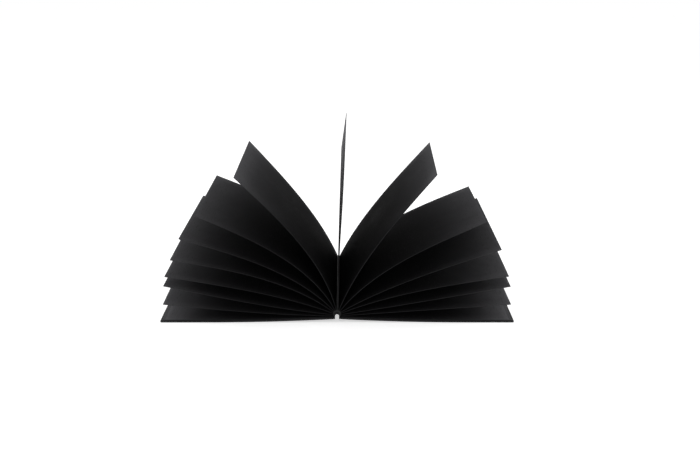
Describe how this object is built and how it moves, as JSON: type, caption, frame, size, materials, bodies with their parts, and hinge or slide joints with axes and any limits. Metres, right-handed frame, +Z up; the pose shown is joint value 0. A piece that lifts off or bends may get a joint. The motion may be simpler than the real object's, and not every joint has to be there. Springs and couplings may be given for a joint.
{
  "type": "open album",
  "caption": "Landscape black album lying open on its covers, its card leaves fanned up from an arched spine strip.",
  "frame": {"origin": "on the table under the middle of the spine, where the bounding box has its bottom centre", "axes": "+X across the open book towards the back cover's fore-edge, +Y along the spine away from the picture's viewer, +Z up from the table"},
  "size_m": [0.4066, 0.14, 0.2094],
  "materials": {
    "leaf_card": "matt black card with a faint sheen",
    "cover_board": "matt black covered board, fine grain",
    "spine_cloth": "black bookcloth"
  },
  "bodies": {
    "book_block": {"pages": "leaf_card", "spine_strip": "spine_cloth"},
    "front": {"front_cover": "cover_board", "front_end_leaf": "leaf_card"},
    "back": {"back_cover": "cover_board", "back_end_leaf": "leaf_card"}
  },
  "joints": [
    {"name": "front_cover_hinge", "type": "hinge", "parent": "book_block", "child": "front", "pos_m": [-0.0025, 0, 0.014], "axis": [0, 1, 0], "range_deg": [0, 90], "deforming": ["pages", "spine_strip"]},
    {"name": "back_cover_hinge", "type": "hinge", "parent": "book_block", "child": "back", "pos_m": [0.0025, 0, 0.014], "axis": [0, -1, 0], "range_deg": [0, 90], "deforming": ["pages", "spine_strip"]}
  ]
}
